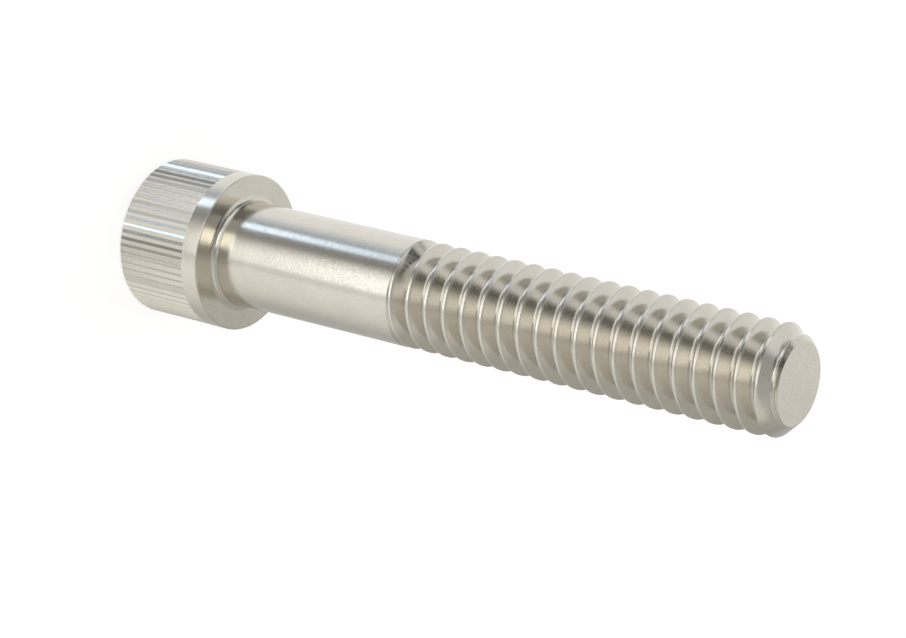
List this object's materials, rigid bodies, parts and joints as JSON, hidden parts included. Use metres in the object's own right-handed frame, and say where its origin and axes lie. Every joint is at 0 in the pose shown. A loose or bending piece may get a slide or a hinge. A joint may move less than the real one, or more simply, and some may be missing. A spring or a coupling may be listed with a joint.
{
  "type": "socket head cap screw",
  "caption": "Socket head cap screw with a straight-knurled cylindrical head, a hexagon socket, a plain shank and a coarse right-hand thread with a chamfered flat end.",
  "frame": {"origin": "on the screw's axis at the bearing face under the head", "axes": "+Z along the axis towards the threaded end, so the screw stands on its head; X and Y lie in the bearing face, and -Y is the side that faces the picture's camera"},
  "size_m": [0.0096, 0.0096, 0.0444],
  "materials": {
    "stainless_steel": "satin, fine-grained stainless steel"
  },
  "bodies": {
    "root": {"cap_screw": "stainless_steel"}
  },
  "joints": []
}
